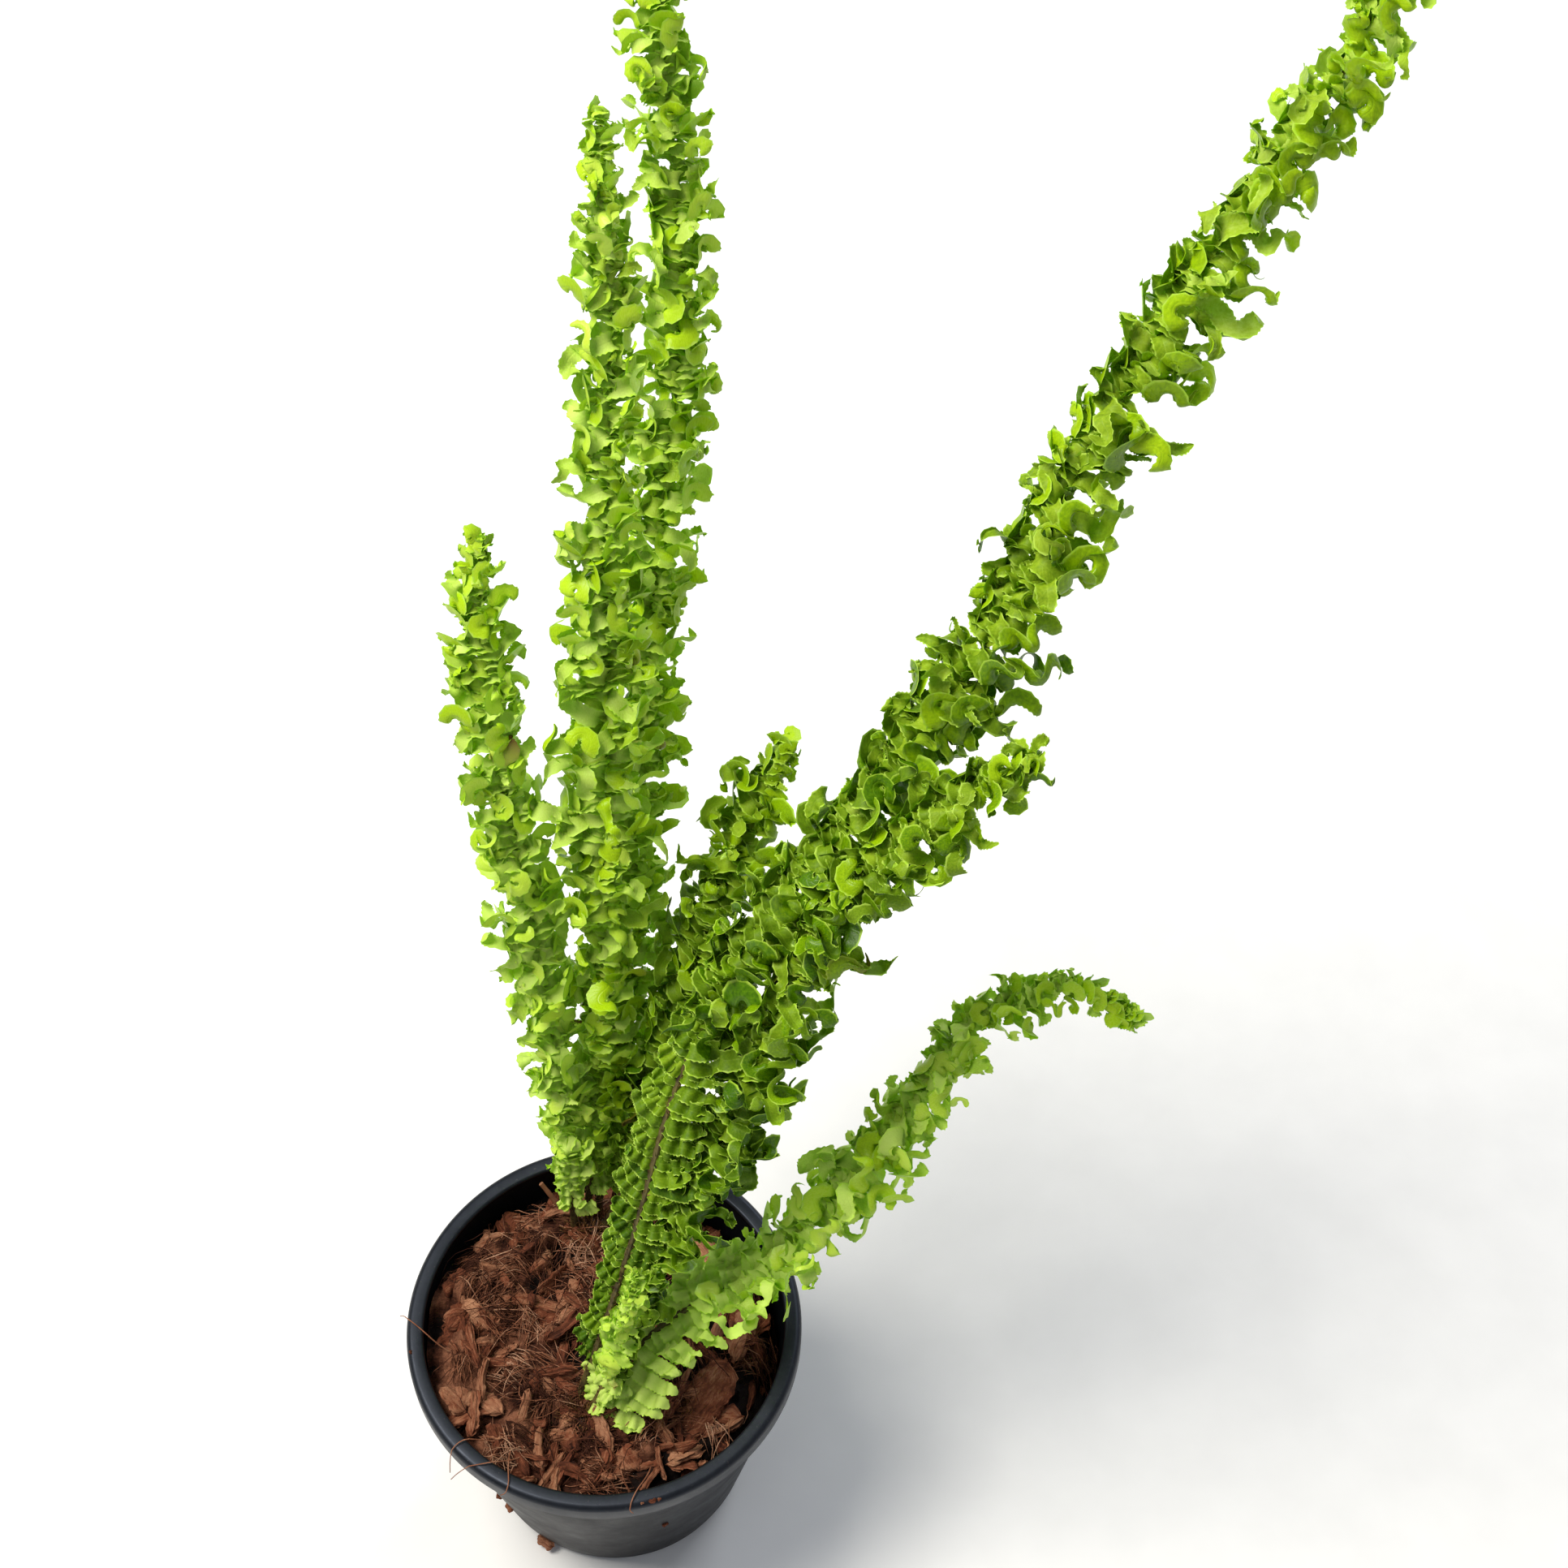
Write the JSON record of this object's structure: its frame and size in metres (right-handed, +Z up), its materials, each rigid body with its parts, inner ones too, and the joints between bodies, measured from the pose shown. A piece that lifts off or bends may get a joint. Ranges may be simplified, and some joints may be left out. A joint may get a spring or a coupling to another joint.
{
  "type": "potted fern",
  "caption": "Potted sword fern with crisped rope-like fronds growing from crowns in husk medium, in a round tapered plastic nursery pot with a rolled rim.",
  "frame": {"origin": "centre of the pot's flat base, where it rests", "axes": "+Z up along the pot's axis; -Y is the side the plant is looked at from, with one crown in front of the pot's centre and one behind it; the tall right frond leans towards +X and +Y"},
  "size_m": [0.3591, 0.3807, 0.6267],
  "materials": {
    "pot_plastic": "satin",
    "husk_medium": "matte",
    "husk_chip": "matte",
    "crown_scales": "matte",
    "dry_stipe": "matte",
    "frond_stem": "satin",
    "leaflets": "satin"
  },
  "bodies": {
    "root": {"pot": "pot_plastic", "growing_medium": "husk_medium", "husk_chip_01": "husk_chip", "husk_chip_02": "husk_chip", "husk_chip_03": "husk_chip", "husk_chip_04": "husk_chip", "husk_chip_05": "husk_chip", "husk_chip_06": "husk_chip", "husk_chip_07": "husk_chip", "husk_chip_08": "husk_chip", "husk_chip_09": "husk_chip", "husk_chip_10": "husk_chip", "husk_chip_11": "husk_chip", "husk_chip_12": "husk_chip", "husk_chip_13": "husk_chip", "front_crown": "crown_scales", "back_crown": "crown_scales", "dry_stipe": "dry_stipe", "left_frond_stem": "frond_stem", "left_frond_left_leaflets": "leaflets", "left_frond_right_leaflets": "leaflets", "centre_left_frond_stem": "frond_stem", "centre_left_frond_left_leaflets": "leaflets", "centre_left_frond_right_leaflets": "leaflets", "centre_right_frond_stem": "frond_stem", "centre_right_frond_left_leaflets": "leaflets", "centre_right_frond_right_leaflets": "leaflets", "short_middle_frond_stem": "frond_stem", "short_middle_frond_left_leaflets": "leaflets", "short_middle_frond_right_leaflets": "leaflets", "tall_right_frond_stem": "frond_stem", "tall_right_frond_left_leaflets": "leaflets", "tall_right_frond_right_leaflets": "leaflets", "middle_right_frond_stem": "frond_stem", "middle_right_frond_left_leaflets": "leaflets", "middle_right_frond_right_leaflets": "leaflets", "arching_frond_stem": "frond_stem", "arching_frond_left_leaflets": "leaflets", "arching_frond_right_leaflets": "leaflets", "young_frond_stem": "frond_stem", "young_frond_left_leaflets": "leaflets", "young_frond_right_leaflets": "leaflets"}
  },
  "joints": []
}
